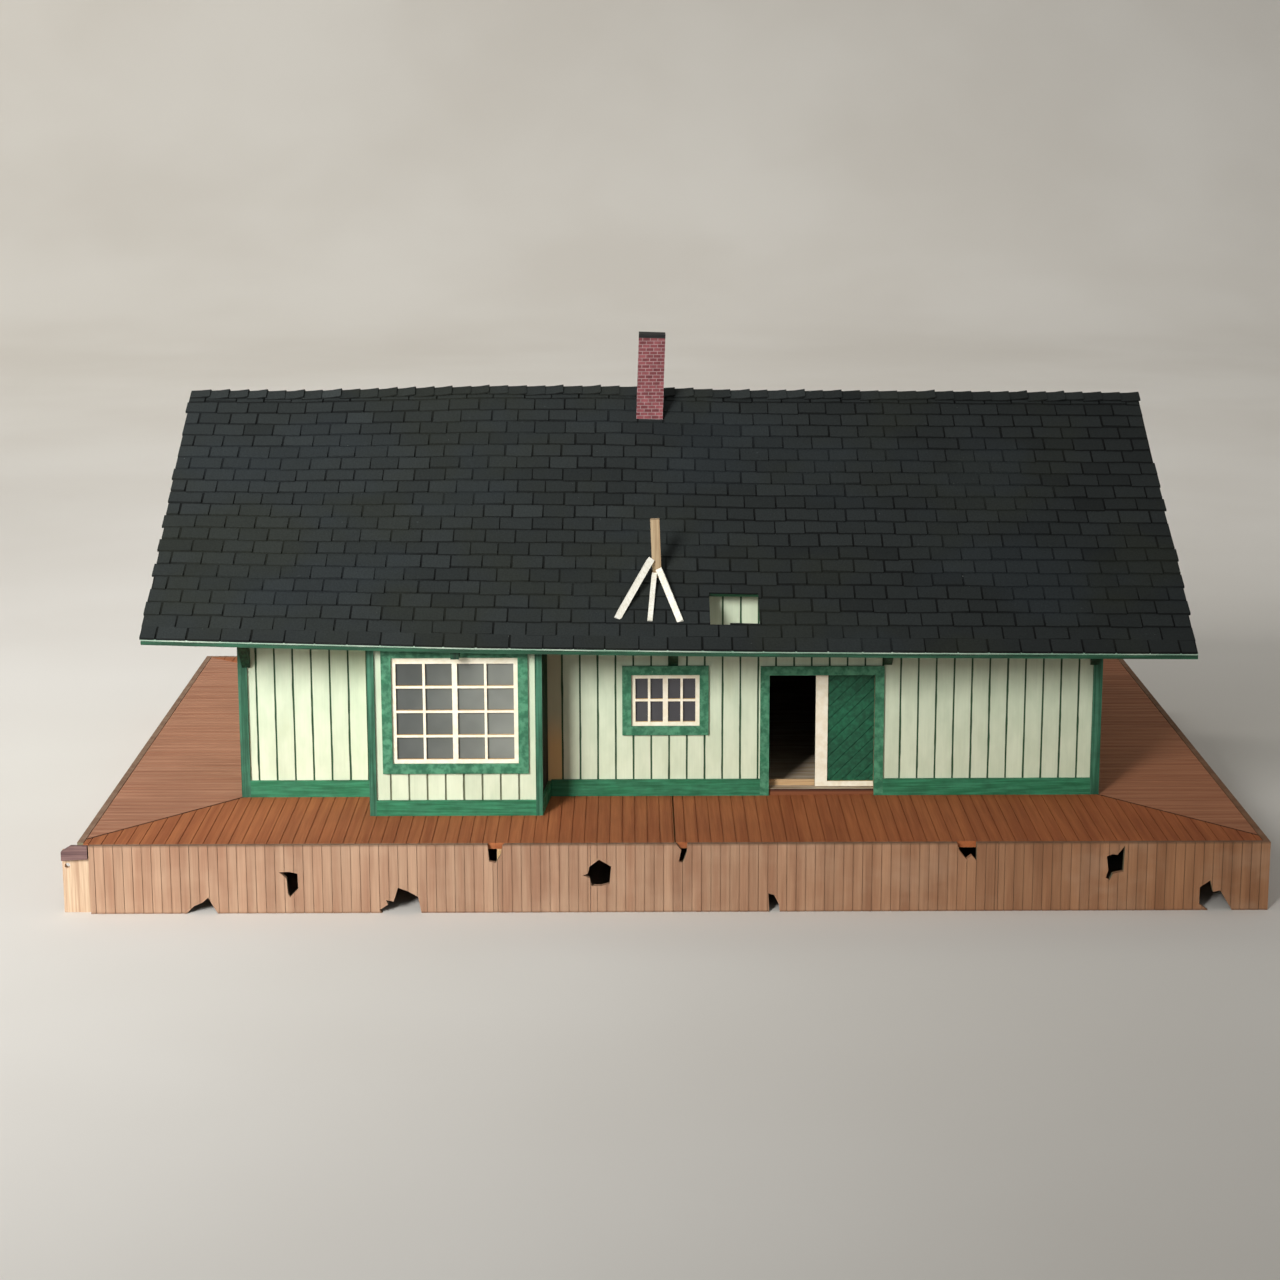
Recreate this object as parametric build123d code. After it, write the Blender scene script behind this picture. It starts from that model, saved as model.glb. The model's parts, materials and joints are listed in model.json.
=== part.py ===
from build123d import *
import os
from math import atan2, cos, degrees, hypot, radians, tan

# Model railway depot in HO scale, standing on a low plank platform. Millimetres, +Z up.
# Origin: centre of the platform's footprint, at the surface that it rests on.
# +X runs to the right along the length, and the trackside (front) faces -Y.

# Stock sizes of the model's wood
sheet = 1.6
thin_sheet = 0.8
acetate = 0.25
strip_small = 2.4
strip_large = 4.0

# How far a cutter runs past the faces that it cuts
cut_past = 1.0

# Platform
platform_length = 300.0
platform_depth = 216.0
platform_height = 17.8
front_margin = 45.4
deck_seam_x = 0.5
mitre_gap = 0.4
deck_bearing = 8.0
joist_count = 7
joist_pitch = 42.7
joist_width = 3.2
fascia_joint_xs = (-44.1, -20.8, 81.7)
fascia_joint_gap = 0.1
deck_scribe_pitch = 3.175
fascia_scribe_pitch = 2.38125
scribe_width = 0.2
scribe_depth = 0.2
mitre_setback = 6.0
front_fascia_left = -146.7

# Broken corner: a raw plate behind the front fascia's left end and a stained chip on its face
corner_plate_left = -153.6
corner_plate_right = -143.0
corner_knot = (-152.3, 12.3, 0.7)
chip_outline = ((-153.6, 13.9), (-147.0, 14.3), (-147.0, 17.6), (-151.2, 17.7), (-153.6, 16.2))
chip_thickness = 1.4

# Building
wall_length = 227.0
wall_depth = 139.7
baseboard_height = 4.5
frieze_bottom = 54.6
corner_leg = 2.4
groove_pitch = 4.7625
front_left_grooves = (-109.6, 4.87)
front_right_grooves = (-28.7, 4.72)
bay_grooves = (-72.9, 4.76)
groove_width = 0.45
groove_depth = 0.3
wall_blank_height = 110.0

# Bay window
bay_left = -77.6
bay_right = -34.2
bay_depth = 18.4
bay_flare = 1.6
bay_corner_leg = 1.8
bay_baseboard_height = 4.1

# Openings in the walls: left, right, bottom and top, seen from outside, above the deck
bay_window = (-72.2, -39.6, 13.9, 42.1)
front_window = (-10.4, 7.7, 19.1, 33.1)
front_doorway = (26.2, 54.2, 0.0, 32.9)
rear_doorway = (-54.2, -26.2, 0.0, 32.9)
rear_windows = ((4.0, 22.8, 19.1, 33.1), (60.0, 78.8, 19.1, 33.1))
left_end_window = (22.0, 40.8, 19.1, 33.1)
left_end_doorway = (-32.0, -17.0, 1.6, 29.6)
right_end_window = (-9.4, 9.4, 19.1, 33.1)
casing_width = 2.4
bay_casing_width = 2.6

# Window sashes
sash_stile = 1.1
sash_bar = 0.65
sash_meeting = 1.35
bay_sash_top_rail = 1.7

# Sliding freight doors
door_width = 29.6
door_height = 34.0
door_stile = 3.2
door_rail = 1.4
door_floor_gap = 0.2
door_clearance = 0.3
door_panel_sink = 0.25
front_door_left = 38.7
rear_door_left = 25.4
track_left = 24.0
track_right = 86.0
track_lip = 3.0

# Eave brackets
bracket_width = 2.2
bracket_reach = 14.0
bracket_foot = 35.5
bracket_nose = 3.0
bay_bracket_foot = 43.0
end_bracket_x = 112.0
bay_bracket_x = -55.4
inner_bracket_xs = (0.9, 57.5)

# Roof
eave_overhang = 25.4
roof_end_overhang = 21.0
roof_shift_x = -0.5
roof_clearance = 0.3
shingle_courses = 21
shingle_butt = 0.5
shingle_head = 0.15
starter_thickness = 0.4
starter_lengths = 8
ridge_shingles_count = 51
ridge_shingle_leg = 3.5
ridge_shingle_thickness = 0.35
ridge_shingle_kick = 0.35
roof_hole = (10.0, 22.8, -16.1, -5.8)
former_count = 3
former_pitch = 88.0
former_clearance = 0.8
former_depth = 5.0

# Chimney, signal mast and its braces
chimney_x = -4.9
chimney_front = 57.2
chimney_side = 7.4
chimney_top = 117.0
chimney_lean = 2.0
chimney_cap_height = 1.0
mast_x = -3.05
mast_y = 0.0
mast_top = 74.8
mast_lean = -2.0
brace_depth = 1.6
# Each brace: its foot's x and y, its top's x and height, and its width
braces = (
    (-14.1, -14.8, -5.2, 64.2, 1.65),
    (-5.6, -15.6, -4.3, 60.2, 1.3),
    (2.5, -15.6, -2.9, 61.4, 1.65),
)

# Worked-out places
deck_top = platform_height
half_platform = platform_length / 2
half_depth = platform_depth / 2
half_wall = wall_length / 2
front_y = -half_depth + front_margin
rear_y = front_y + wall_depth
middle_y = (front_y + rear_y) / 2
side_margin = half_platform - half_wall
rear_margin = half_depth - rear_y
ridge_y = middle_y
front_eave_y = front_y - eave_overhang
rear_eave_y = rear_y + eave_overhang
roof_length = wall_length + 2 * roof_end_overhang
roof_left = roof_shift_x - roof_length / 2
roof_right = roof_shift_x + roof_length / 2

# The roof sags along its eaves and humps along its ridge: heights of the boards' upper face above
# the deck, at places along X, for the front eave, the ridge and the rear eave
roof_lines = (
    (roof_left, 48.1, 99.7, 46.0),
    (-105.0, 47.2, 99.4, 45.9),
    (-50.0, 45.6, 100.7, 45.6),
    (-15.0, 45.0, 100.5, 45.4),
    (20.0, 44.45, 99.25, 45.3),
    (60.0, 44.05, 98.95, 45.1),
    (roof_right, 43.45, 98.2, 44.8),
)
front_eave_height = roof_lines[3][1]
ridge_height = roof_lines[3][2]
roof_slope = atan2(ridge_height - front_eave_height, ridge_y - front_eave_y)
board_drop = thin_sheet / cos(roof_slope)

# The bay's right side, which flares out from its front corner to the wall
bay_right_wall = bay_right + bay_flare
bay_side_length = hypot(bay_depth, bay_flare)
bay_swing = atan2(bay_flare, bay_depth)

# Gnawed places in the front fascia: outlines along X and up from the resting surface
gnawed = (
    ((-122.8, -0.1), (-120.6, 2.0), (-118.5, 2.9), (-117.0, 4.2), (-116.2, 2.6), (-114.6, -0.1)),
    ((-99.0, 10.8), (-96.4, 10.9), (-94.4, 10.4), (-94.3, 6.4), (-96.4, 4.2), (-96.9, 5.2), (-97.2, 9.2)),
    ((-74.0, 0.8), (-71.8, 2.2), (-72.3, 3.4), (-70.4, 3.0), (-69.2, 6.6), (-66.6, 5.6), (-64.2, 4.2),
     (-63.4, -0.1), (-73.2, -0.1)),
    ((-46.6, 18.0), (-46.2, 13.4), (-44.6, 13.0), (-43.3, 15.0), (-42.8, 17.4), (-42.0, 18.0)),
    ((-22.7, 9.7), (-21.0, 9.0), (-20.5, 6.9), (-18.0, 6.9), (-16.0, 7.4), (-15.6, 12.0), (-18.6, 13.8),
     (-21.0, 12.0), (-21.4, 10.2)),
    ((0.6, 18.0), (2.0, 16.2), (1.4, 13.2), (2.4, 12.9), (3.4, 15.6), (3.6, 18.0)),
    ((24.0, 4.8), (25.4, 4.4), (26.6, 2.0), (26.9, -0.1), (24.2, -0.1)),
    ((71.2, 18.0), (71.8, 15.9), (73.6, 13.6), (75.0, 14.6), (76.2, 13.2), (76.2, 18.0)),
    ((108.9, 14.2), (110.4, 14.8), (111.6, 14.6), (113.4, 17.0), (113.2, 10.2), (110.6, 9.6), (109.8, 8.0),
     (108.8, 8.6), (109.4, 10.6)),
    ((132.6, 1.6), (132.6, 6.0), (135.2, 7.8), (136.0, 4.8), (137.8, 5.2), (141.0, -0.1), (135.0, -0.1)),
)


# ---- shared shapes

def block(x0, x1, y0, y1, z0, z1):
    """A box between two opposite corners."""
    return Pos((x0 + x1) / 2, (y0 + y1) / 2, (z0 + z1) / 2) * Box(x1 - x0, y1 - y0, z1 - z0)


def group(pieces):
    """Several separate solids that share one name."""
    return Compound(children=[solid for piece in pieces for solid in piece.solids()])


def bar(start, end, width, depth):
    """A straight rectangular stick whose centre line joins two points, with its width along X."""
    along = Vector(*end) - Vector(*start)
    plane = Plane(origin=start, x_dir=Vector(0, 1, 0).cross(along.normalized()), z_dir=along)
    return extrude(plane * Rectangle(width, depth), amount=along.length)


# ---- places on the four walls, each seen from outside with its outer face at y = 0

front_place = Pos(0, front_y, deck_top)
rear_place = Location((0, rear_y, deck_top), (0, 0, 180))
left_place = Location((-half_wall, middle_y, deck_top), (0, 0, -90))
right_place = Location((half_wall, middle_y, deck_top), (0, 0, 90))
bay_place = Pos(0, front_y - bay_depth, deck_top)
bay_left_place = Location((bay_left, front_y, deck_top), (0, 0, -90))
bay_right_place = Location((bay_right, front_y - bay_depth, deck_top), (0, 0, 90 - degrees(bay_swing)))


# ---- roof surface

def board_top(x, y):
    """Height of the roof boards' upper face over a point of the plan."""
    spans = list(zip(roof_lines, roof_lines[1:]))
    left, right = next((pair for pair in spans if x <= pair[1][0]), spans[-1])
    share = (x - left[0]) / (right[0] - left[0])
    front_eave, ridge, rear_eave = (low + share * (high - low) for low, high in zip(left[1:], right[1:]))
    if y <= ridge_y:
        return deck_top + ridge + (front_eave - ridge) * (ridge_y - y) / (ridge_y - front_eave_y)
    return deck_top + ridge + (rear_eave - ridge) * (y - ridge_y) / (rear_eave_y - ridge_y)


def roof_stations(x0=roof_left, x1=roof_right):
    """The ends of a stretch of roof, and the places between them where the roof bends."""
    return [x0] + [line[0] for line in roof_lines if x0 < line[0] < x1] + [x1]


def roof_strip(section, x0=roof_left, x1=roof_right):
    """A solid that follows the roof, made from a section: a list of (y, height above the boards)."""
    outlines = []
    for x in roof_stations(x0, x1):
        corners = [(x, y, board_top(x, y) + rise) for y, rise in section]
        outlines.append(Wire.make_polygon(corners, close=True))
    return Solid.make_loft(outlines, ruled=True)


def roof_side(y_eave, rise):
    """The space under one slope, from the resting surface up to a surface parallel to the boards."""
    outlines = []
    for x in roof_stations():
        corners = [
            (x, ridge_y, 0),
            (x, y_eave, 0),
            (x, y_eave, board_top(x, y_eave) + rise),
            (x, ridge_y, board_top(x, ridge_y) + rise),
        ]
        outlines.append(Wire.make_polygon(corners, close=True))
    return Solid.make_loft(outlines, ruled=True)


def under_roof(piece):
    """The part of a piece that stays clear below the roof boards."""
    rise = -board_drop - roof_clearance
    return piece & (roof_side(front_eave_y, rise) + roof_side(rear_eave_y, rise))


def above_front_slope(piece, rise):
    """The part of a piece that stands above the front slope."""
    return piece - roof_side(front_eave_y, rise)


# ---- platform

def scribe_lines(low, high, pitch):
    """Evenly spaced scribed lines between two edges."""
    count = round((high - low) / pitch)
    return [low + (high - low) * step / count for step in range(1, count)]


def deck_sheets():
    """Four scribed sheets; their mitres run from the building's corners to the platform's sides."""
    outer_x = half_platform - sheet
    outer_y = half_depth - sheet
    mitre_y = -half_depth + mitre_setback
    inner_x = half_wall - deck_bearing
    front_lean = (front_y - mitre_y) / (outer_x - half_wall)
    inner_front = front_y + deck_bearing * front_lean
    inner_rear = rear_y - deck_bearing * rear_margin / side_margin
    left_edge = [(-outer_x, mitre_y), (-inner_x, inner_front), (-inner_x, inner_rear), (-outer_x, outer_y)]
    right_edge = [(-x, y) for x, y in left_edge]
    rear_edge = [left_edge[3], left_edge[2], right_edge[2], right_edge[3]]
    sheets = {"deck_left": mitred_sheet(left_edge, True), "deck_right": mitred_sheet(right_edge, True)}
    sheets["deck_back"] = mitred_sheet(rear_edge, False)
    halves = []
    for edge in (left_edge, right_edge):
        seam = [(deck_seam_x, -outer_y), (deck_seam_x, inner_front)]
        halves.append([(edge[0][0], -outer_y), *seam, edge[1], edge[0]])
    sheets["deck_front"] = group([mitred_sheet(points, False) for points in halves])
    return sheets


def mitred_sheet(points, across):
    """A deck sheet with a narrow gap left at its mitres, scribed along Y, or along X if across is true."""
    face = offset(make_face(Polyline(*points, close=True)), amount=-mitre_gap / 2, kind=Kind.INTERSECTION)
    flat = Pos(0, 0, deck_top - sheet) * extrude(face, amount=sheet, dir=(0, 0, 1))
    reach = half_depth if across else half_platform
    half = scribe_width / 2
    z0 = deck_top - scribe_depth
    z1 = deck_top + cut_past
    grooves = []
    for at in scribe_lines(-reach, reach, deck_scribe_pitch):
        if across:
            grooves.append(block(-half_platform, half_platform, at - half, at + half, z0, z1))
        else:
            grooves.append(block(at - half, at + half, -half_depth, half_depth, z0, z1))
    box = flat.bounding_box()
    low, high = (box.min.Y, box.max.Y) if across else (box.min.X, box.max.X)
    centres = [(groove, groove.center().Y if across else groove.center().X) for groove in grooves]
    return flat - [groove for groove, centre in centres if low + half < centre < high - half]


def fascia_front():
    """Four lengths of scribed sheet on edge, with the gnawed holes and notches cut through."""
    edges = [front_fascia_left, *fascia_joint_xs, half_platform]
    gap = fascia_joint_gap / 2
    lengths = [
        block(left + gap, right - gap, -half_depth, -half_depth + sheet, 0, deck_top)
        for left, right in zip(edges, edges[1:])
    ]
    cutters = []
    for outline in gnawed:
        face = make_face(Polyline(*[(x, -half_depth - cut_past, z) for x, z in outline], close=True))
        cutters.append(extrude(face, amount=sheet + 2 * cut_past, dir=(0, 1, 0)))
    scribes = upright_scribes(-half_platform, half_platform)
    front = Pos(0, -half_depth, 0)
    cutters += [front * scribe for scribe in scribes]
    return group([length - cutters for length in lengths])


def upright_scribes(low, high):
    """Cutters for upright scribed lines on a face at y = 0 that looks towards -Y."""
    half = scribe_width / 2
    lines = scribe_lines(low, high, fascia_scribe_pitch)
    top = deck_top + cut_past
    return [block(x - half, x + half, -cut_past, scribe_depth, -cut_past, top) for x in lines]


def fascia_left():
    """The left fascia, which stops behind the plate at the broken corner."""
    low = -half_depth + sheet
    high = half_depth - 2 * sheet
    board = block(low, high, 0, sheet, 0, deck_top) - upright_scribes(low, high)
    return Location((-half_platform, 0, 0), (0, 0, -90)) * board


def corner_plate():
    """Raw wood plate that sticks out past the front left corner, with a small knot hole."""
    y0 = -half_depth + sheet
    plate = block(corner_plate_left, corner_plate_right, y0, y0 + sheet, 0, deck_top - sheet)
    x, z, radius = corner_knot
    hole = Location((x, y0 + sheet / 2, z), (90, 0, 0)) * Cylinder(radius, sheet + 2 * cut_past)
    return plate - hole


def corner_chip():
    """Stained chip of the broken corner, glued to the plate's face."""
    y0 = -half_depth + sheet - chip_thickness
    face = make_face(Polyline(*[(x, y0, z) for x, z in chip_outline], close=True))
    return extrude(face, amount=chip_thickness, dir=(0, 1, 0))


def fascia_right():
    half = half_depth - sheet
    board = block(-half, half, 0, sheet, 0, deck_top) - upright_scribes(-half, half)
    return Location((half_platform, 0, 0), (0, 0, 90)) * board


def fascia_back():
    board = block(-half_platform, half_platform, 0, sheet, 0, deck_top)
    board -= upright_scribes(-half_platform, half_platform)
    return Location((0, half_depth, 0), (0, 0, 180)) * board


def platform_joists():
    """Joists on edge from front to rear, which carry the deck and rest on the table."""
    reach = half_depth - sheet
    half = joist_width / 2
    middle = (joist_count - 1) / 2
    xs = [joist_pitch * (step - middle) for step in range(joist_count)]
    return group([block(x - half, x + half, -reach, reach, 0, deck_top - sheet) for x in xs])


def interior_floor():
    """Floor sheet inside the walls, with a tongue in each freight doorway and one in the bay."""
    z0, z1 = deck_top, deck_top + sheet
    floor = block(-half_wall + sheet, half_wall - sheet, front_y + sheet, rear_y - sheet, z0, z1)
    x0, x1 = front_doorway[:2]
    floor += block(x0, x1, front_y, front_y + sheet, z0, z1)
    x0, x1 = -rear_doorway[1], -rear_doorway[0]
    floor += block(x0, x1, rear_y - sheet, rear_y, z0, z1)
    floor += block(bay_left + sheet, bay_right - sheet, front_y - bay_depth + sheet, front_y + sheet, z0, z1)
    return floor


# ---- walls

def opening_cutter(opening):
    x0, x1, z0, z1 = opening
    bottom = z0 if z0 > 0 else -cut_past
    return block(x0, x1, -cut_past, sheet + cut_past, bottom, z1)


def groove_lines(x0, x1, grooves):
    """Places of the scribed grooves: a first line and a pitch, or else even spaces between two edges."""
    if grooves is None:
        return scribe_lines(x0, x1, groove_pitch)
    first, pitch = grooves
    count = int((x1 - groove_width - first) / pitch) + 1
    return [first + pitch * step for step in range(count)]


def wall_sheet(place, x0, x1, openings=(), grooves=None):
    """A scribed wall sheet with its openings, cut off just below the roof boards."""
    wall = block(x0, x1, 0, sheet, 0, wall_blank_height)
    wall -= [opening_cutter(opening) for opening in openings]
    half = groove_width / 2
    top = wall_blank_height + cut_past
    lines = groove_lines(x0, x1, grooves)
    wall -= [block(x - half, x + half, -cut_past, groove_depth, -cut_past, top) for x in lines]
    return under_roof(place * wall)


def walls():
    inner = wall_depth / 2 - sheet
    front_openings = [front_window, front_doorway]
    bay_front = sheet / cos(bay_swing)
    return {
        "front_wall_left": wall_sheet(front_place, -half_wall, bay_left, (), front_left_grooves),
        "front_wall_right": wall_sheet(
            front_place, bay_right_wall, half_wall, front_openings, front_right_grooves
        ),
        "back_wall": wall_sheet(rear_place, -half_wall, half_wall, [rear_doorway, *rear_windows]),
        "left_end_wall": wall_sheet(left_place, -inner, inner, [left_end_window, left_end_doorway]),
        "right_end_wall": wall_sheet(right_place, -inner, inner, [right_end_window]),
        "bay_front_wall": wall_sheet(bay_place, bay_left, bay_right, [bay_window], bay_grooves),
        "bay_side_walls": group([
            wall_sheet(bay_left_place, 0, bay_depth - sheet),
            wall_sheet(bay_right_place, bay_front, bay_side_length),
        ]),
    }


def wall_braces():
    """Square sticks that stiffen the inside of the four corners and of the bay's corners."""
    x = half_wall - sheet
    y0, y1 = front_y + sheet, rear_y - sheet
    bay_y = front_y - bay_depth + sheet
    z0, z1 = deck_top + sheet, deck_top + frieze_bottom
    size = strip_large
    small = strip_small
    corners = [
        block(-x, -x + size, y0, y0 + size, z0, z1),
        block(x - size, x, y0, y0 + size, z0, z1),
        block(-x, -x + size, y1 - size, y1, z0, z1),
        block(x - size, x, y1 - size, y1, z0, z1),
        block(bay_left + sheet, bay_left + sheet + small, bay_y, bay_y + small, z0, z1 - size),
        block(bay_right - sheet - small, bay_right - sheet, bay_y, bay_y + small, z0, z1 - size),
    ]
    return group([under_roof(corner) for corner in corners])


# ---- trim

def corner_angle(x, y, side_x, side_y, leg, height):
    """An angle strip round an outside corner; side_x and side_y point out of the building."""
    reach = leg - thin_sheet
    xs = sorted((x - side_x * reach, x + side_x * thin_sheet))
    ys = sorted((y - side_y * reach, y + side_y * thin_sheet))
    solid = block(*xs, *ys, deck_top, height)
    inner_xs = sorted((x - side_x * leg, x))
    inner_ys = sorted((y - side_y * leg, y))
    return solid - block(*inner_xs, *inner_ys, deck_top - cut_past, height + cut_past)


def corner_posts():
    top = deck_top + wall_blank_height
    return group([
        under_roof(corner_angle(side_x * half_wall, y, side_x, side_y, corner_leg, top))
        for side_x in (-1, 1)
        for y, side_y in ((front_y, -1), (rear_y, 1))
    ])


def bay_corner_posts():
    top = deck_top + wall_blank_height
    y = front_y - bay_depth
    return group([
        under_roof(corner_angle(x, y, side, -1, bay_corner_leg, top))
        for x, side in ((bay_left, -1), (bay_right, 1))
    ])


def strip_along(place, spans, z0, z1):
    """Flat trim strips on a wall's outer face, one for each span of x."""
    return [place * block(x0, x1, -thin_sheet, 0, z0, z1) for x0, x1 in spans]


def wall_spans():
    """The stretches of the four walls between corner posts, bay and doorways."""
    reach = half_wall - corner_leg + thin_sheet
    end_reach = wall_depth / 2 - corner_leg + thin_sheet
    front = [
        (-reach, bay_left - thin_sheet),
        (bay_right_wall + thin_sheet, front_doorway[0] - casing_width),
        (front_doorway[1] + casing_width, reach),
    ]
    rear = [
        (-reach, rear_doorway[0] - casing_width),
        (rear_doorway[1] + casing_width, reach),
    ]
    left = [
        (-end_reach, left_end_doorway[0] - casing_width),
        (left_end_doorway[1] + casing_width, end_reach),
    ]
    right = [(-end_reach, end_reach)]
    return front, rear, left, right


def baseboards():
    front, rear, left, right = wall_spans()
    strips = strip_along(front_place, front, 0, baseboard_height)
    strips += strip_along(rear_place, rear, 0, baseboard_height)
    strips += strip_along(left_place, left, 0, baseboard_height)
    strips += strip_along(right_place, right, 0, baseboard_height)
    return group(strips)


def bay_baseboard():
    reach = bay_corner_leg - thin_sheet
    height = bay_baseboard_height
    side_start = 1.5 * thin_sheet
    return group([
        bay_place * block(bay_left + reach, bay_right - reach, -thin_sheet, 0, 0, height),
        bay_left_place * block(0, bay_depth - reach, -thin_sheet, 0, 0, height),
        bay_right_place * block(side_start, bay_side_length, -thin_sheet, 0, 0, height),
    ])


def frieze_boards():
    """Green boards under the front and rear eaves."""
    reach = half_wall - corner_leg + thin_sheet
    front = [(-reach, bay_left - thin_sheet), (bay_right_wall + thin_sheet, reach)]
    strips = strip_along(front_place, front, frieze_bottom, wall_blank_height)
    strips += strip_along(rear_place, [(-reach, reach)], frieze_bottom, wall_blank_height)
    return group([under_roof(strip) for strip in strips])


def casing(place, opening, width):
    """A flat frame round an opening; it has no bottom piece where the opening reaches the deck."""
    x0, x1, z0, z1 = opening
    bottom = z0 - width if z0 > sheet else 0
    inside_bottom = z0 if z0 > sheet else -cut_past
    frame = block(x0 - width, x1 + width, -thin_sheet, 0, bottom, z1 + width)
    frame -= block(x0, x1, -thin_sheet - cut_past, cut_past, inside_bottom, z1)
    return under_roof(place * frame)


def eave_brackets(frieze):
    """Triangular brackets between wall and eave along the front and the rear."""
    wall_low = deck_top + bracket_foot
    bay_face = front_y - bay_depth - thin_sheet
    bay_reach = eave_overhang - bay_depth - 3 * thin_sheet
    pieces = [bracket(bay_bracket_x, bay_face, -bay_reach, deck_top + bay_bracket_foot)]
    for x in (-end_bracket_x, end_bracket_x):
        pieces.append(bracket(x, front_y - thin_sheet, -bracket_reach, wall_low))
        pieces.append(bracket(x, rear_y + thin_sheet, bracket_reach, wall_low))
    for x in inner_bracket_xs:
        pieces.append(bracket(x, front_y, -bracket_reach, wall_low) - frieze)
        pieces.append(bracket(x, rear_y, bracket_reach, wall_low) - frieze)
    pieces.append(bracket(bay_bracket_x, rear_y, bracket_reach, wall_low) - frieze)
    return group(pieces)


def bracket(x, face, reach, low):
    """A triangular bracket: upright edge on the wall, upper edge under the roof boards."""
    top = deck_top + wall_blank_height
    tip = face + reach
    tip_low = board_top(x, tip) - board_drop - bracket_nose
    points = [(x, face, low), (x, tip, tip_low), (x, tip, top), (x, face, top)]
    outline = make_face(Polyline(*points, close=True))
    solid = extrude(outline, amount=bracket_width / 2, dir=(1, 0, 0), both=True)
    return under_roof(solid)


# ---- windows and doors

def light(x0, x1, z0, z1, columns, rows, left_stile, right_stile, top_rail):
    """One window light: a stile or rail along each edge and narrow bars between the panes."""
    frame = block(x0, x1, 0, thin_sheet, z0, z1)
    pane_width = (x1 - x0 - left_stile - right_stile - (columns - 1) * sash_bar) / columns
    pane_height = (z1 - z0 - sash_stile - top_rail - (rows - 1) * sash_bar) / rows
    panes = []
    for column in range(columns):
        for row in range(rows):
            left = x0 + left_stile + column * (pane_width + sash_bar)
            low = z0 + sash_stile + row * (pane_height + sash_bar)
            depth = (-cut_past, thin_sheet + cut_past)
            panes.append(block(left, left + pane_width, *depth, low, low + pane_height))
    return frame - panes


def sash_pair(place, opening, columns, rows, top_rail=sash_stile):
    """Two lights side by side in one opening, each with a narrower stile where they meet."""
    x0, x1, z0, z1 = opening
    middle = (x0 + x1) / 2
    half = sash_meeting / 2
    left = light(x0, middle, z0, z1, columns, rows, sash_stile, half, top_rail)
    right = light(middle, x1, z0, z1, columns, rows, half, sash_stile, top_rail)
    return group([place * left, place * right])


def glazing(place, opening):
    x0, x1, z0, z1 = opening
    return place * block(x0, x1, thin_sheet, thin_sheet + acetate, z0, z1)


def sliding_door(place, left):
    """Door sheet and the frame strips on its outer face; left is its left edge along the wall."""
    back = sheet + door_clearance + thin_sheet
    low = sheet + door_floor_gap
    right = left + door_width
    top = low + door_height
    panel = block(left, right, back, back + thin_sheet, low, top)
    frame = block(left, right, back - thin_sheet, back, low, top)
    inside = (left + door_stile, right - door_stile)
    frame -= block(*inside, 0, back + cut_past, low + door_rail, top - strip_small)
    return place * panel, place * frame


def door_track(place, left, right):
    """A spacer and a lip over the door, and a lip on the floor, with room for the door to slide."""
    room = 2 * door_clearance + 2 * thin_sheet
    top = sheet + door_floor_gap + door_height + door_clearance
    upper = block(left, right, sheet, sheet + room, top, top + strip_small)
    upper += block(left, right, sheet + room, sheet + room + thin_sheet, top - track_lip, top + strip_small)
    lower = block(left, right, sheet + room, sheet + room + thin_sheet, sheet, 2 * sheet)
    return group([place * upper, place * lower])


def passenger_door():
    """A fixed door slab with two sunk panels, set in its doorway."""
    x0, x1, z0, z1 = left_end_doorway
    slab = block(x0, x1, thin_sheet / 2, thin_sheet / 2 + thin_sheet, z0, z1)
    border = strip_small
    middle = (z0 + z1) / 2
    sunk = thin_sheet / 2 + door_panel_sink
    slab -= block(x0 + border, x1 - border, 0, sunk, z0 + border, middle - border / 2)
    slab -= block(x0 + border, x1 - border, 0, sunk, middle + border / 2, z1 - border)
    return left_place * slab


# ---- roof

def roof_hole_cutter():
    """The square hole through the front overhang, cut square to the slope."""
    x0, x1, y0, y1 = roof_hole
    y_middle = front_y + (y0 + y1) / 2
    x_middle = (x0 + x1) / 2
    z_middle = board_top(x_middle, y_middle)
    place = Location((x_middle, y_middle, z_middle), (degrees(roof_slope), 0, 0))
    return place * Box(x1 - x0, (y1 - y0) / cos(roof_slope), 4 * sheet)


def roof_boards():
    front, rear = (
        roof_strip([(ridge_y, 0), (y_eave, 0), (y_eave, -board_drop), (ridge_y, -board_drop)])
        for y_eave in (front_eave_y, rear_eave_y)
    )
    return front - roof_hole_cutter(), rear


def starter_strips():
    """Pale card strips laid end to end along both eaves, under the first course of shingles."""
    length = roof_length / starter_lengths
    strips = []
    for y_eave in (front_eave_y, rear_eave_y):
        y1 = y_eave + (ridge_y - y_eave) / shingle_courses
        section = [(y_eave, 0), (y1, 0), (y1, starter_thickness), (y_eave, starter_thickness)]
        for step in range(starter_lengths):
            x0 = roof_left + step * length
            strips.append(roof_strip(section, x0, x0 + length))
    return group(strips)


def shingle_slope(y_eave):
    """Overlapping courses from eave to ridge, each thick at its lower edge and thin under the next."""
    pitch = (ridge_y - y_eave) / shingle_courses
    courses = []
    for step in range(shingle_courses):
        lift = starter_thickness if step == 0 else 0
        y0 = y_eave + step * pitch
        y1 = y0 + pitch
        section = [(y0, lift), (y1, lift), (y1, lift + shingle_head), (y0, lift + shingle_butt)]
        courses.append(roof_strip(section))
    return courses


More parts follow.
